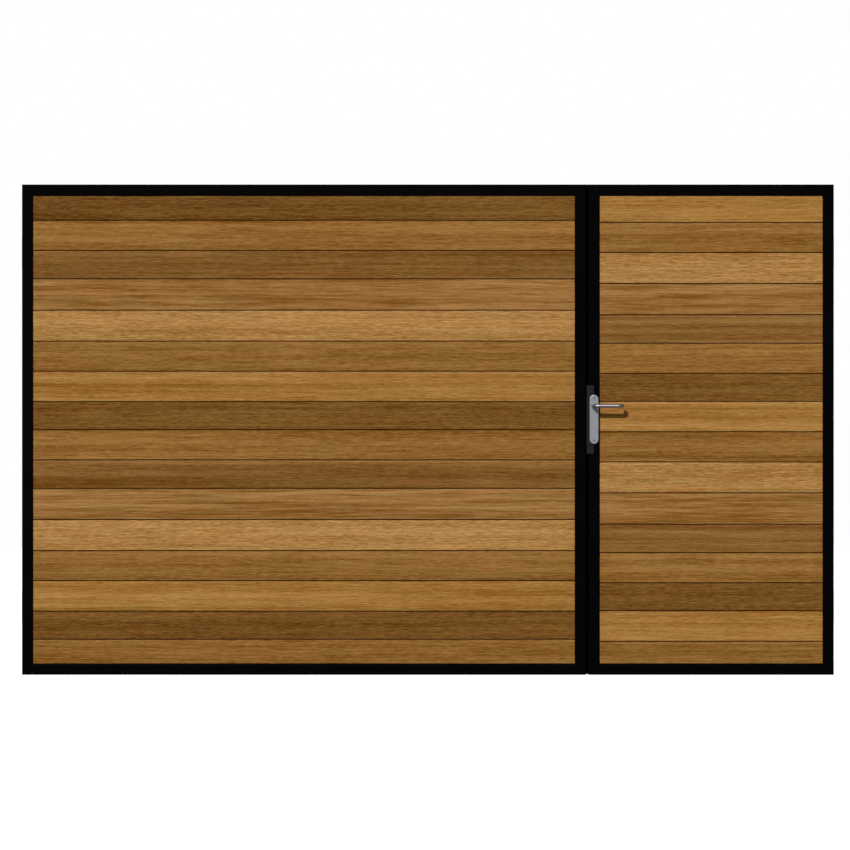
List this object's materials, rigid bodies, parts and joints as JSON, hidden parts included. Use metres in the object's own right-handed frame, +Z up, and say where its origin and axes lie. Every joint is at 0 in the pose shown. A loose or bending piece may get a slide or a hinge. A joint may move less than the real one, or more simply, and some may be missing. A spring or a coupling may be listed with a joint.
{
  "type": "garden gate",
  "caption": "Double driveway gate: wide and narrow leaves of black square tube with horizontal hardwood boards, lever latch, drop bolt and rear-mounted hinges.",
  "frame": {"origin": "centre of the four fixing holes of the wide leaf's lower hinge bracket, on the pier face", "axes": "+X along the gate from the wide leaf's pier to the narrow leaf's pier, -Y towards the outside (front), +Y the way the leaves open, +Z up"},
  "size_m": [2.986, 0.184, 1.8013],
  "materials": {
    "black_powder_coat": "satin black powder coat with a fine orange peel",
    "hardwood": "oiled golden-brown hardwood, planed, tones differ from board to board",
    "satin_metal": "satin grey handle set, worn bright at the lever's neck",
    "stainless_steel": "brushed",
    "zinc_plated_steel": "zinc plated",
    "dark_grey_steel": "dark grey satin paint",
    "bronze": "cast and machined",
    "spring_steel": "oiled",
    "black_nylon": "moulded"
  },
  "bodies": {
    "post_side": {"wide_lower_bracket": "black_powder_coat", "wide_upper_bracket": "black_powder_coat", "narrow_lower_bracket": "black_powder_coat", "narrow_upper_bracket": "black_powder_coat", "hinge_pins": "zinc_plated_steel", "hinge_washers": "bronze", "hinge_clips": "zinc_plated_steel"},
    "wide_leaf": {"wide_hinge_stile": "black_powder_coat", "wide_meeting_stile": "black_powder_coat", "wide_top_rail": "black_powder_coat", "wide_bottom_rail": "black_powder_coat", "wide_board_stops": "black_powder_coat", "wide_uprights": "black_powder_coat", "wide_board_screws": "zinc_plated_steel", "wide_boards_01_02": "hardwood", "wide_boards_03_04": "hardwood", "wide_boards_05_06": "hardwood", "wide_boards_07_08": "hardwood", "wide_boards_09_10": "hardwood", "wide_boards_11_12": "hardwood", "wide_boards_13_14": "hardwood", "wide_boards_15_16": "hardwood", "wide_hinge_eyes": "black_powder_coat", "wide_eye_bolts": "zinc_plated_steel", "keep_plate": "stainless_steel", "keep_screws": "zinc_plated_steel", "drop_bolt_guides": "black_powder_coat", "drop_bolt_bush": "black_nylon"},
    "narrow_leaf": {"narrow_meeting_stile": "black_powder_coat", "narrow_hinge_stile": "black_powder_coat", "narrow_top_rail": "black_powder_coat", "narrow_bottom_rail": "black_powder_coat", "narrow_board_stops": "black_powder_coat", "narrow_board_screws": "zinc_plated_steel", "narrow_boards_01_02": "hardwood", "narrow_boards_03_04": "hardwood", "narrow_boards_05_06": "hardwood", "narrow_boards_07_08": "hardwood", "narrow_boards_09_10": "hardwood", "narrow_boards_11_12": "hardwood", "narrow_boards_13_14": "hardwood", "narrow_boards_15_16": "hardwood", "narrow_hinge_eyes": "black_powder_coat", "narrow_eye_bolts": "zinc_plated_steel", "stop_strip": "black_powder_coat", "latch_guard": "dark_grey_steel", "lock_forend": "stainless_steel", "forend_screws": "zinc_plated_steel", "lock_case": "zinc_plated_steel", "lock_case_lid": "zinc_plated_steel", "front_handle_plate": "satin_metal", "rear_handle_plate": "satin_metal", "handle_screws": "satin_metal"},
    "handle": {"front_lever": "satin_metal", "rear_lever": "satin_metal", "spindle": "zinc_plated_steel", "follower": "zinc_plated_steel", "lever_spring": "spring_steel"},
    "latch": {"latch_bolt": "bronze"},
    "drop_bolt": {"drop_rod": "zinc_plated_steel"}
  },
  "joints": [
    {"name": "wide_swing", "type": "hinge", "parent": "post_side", "child": "wide_leaf", "pos_m": [0.023, -0.026, 0.65], "axis": [0, 0, 1], "range_deg": [0, 100]},
    {"name": "narrow_swing", "type": "hinge", "parent": "post_side", "child": "narrow_leaf", "pos_m": [2.963, -0.026, 0.65], "axis": [0, 0, -1], "range_deg": [0, 100]},
    {"name": "lever_turn", "type": "hinge", "parent": "narrow_leaf", "child": "handle", "pos_m": [2.103, -0.068, 0.737], "axis": [0, 1, 0], "range_deg": [0, 35], "stiffness_Nm_per_rad": 1.5, "springref_deg": -34.38},
    {"name": "latch_slide", "type": "slide", "parent": "narrow_leaf", "child": "latch", "axis": [1, 0, 0], "range_m": [0, 0.0121]},
    {"name": "drop_slide", "type": "slide", "parent": "wide_leaf", "child": "drop_bolt", "axis": [0, 0, -1], "range_m": [0, 0.11]}
  ],
  "couplings": [
    {"joint": "latch_slide", "follows": "lever_turn", "m_per_rad": 0.0196}
  ]
}
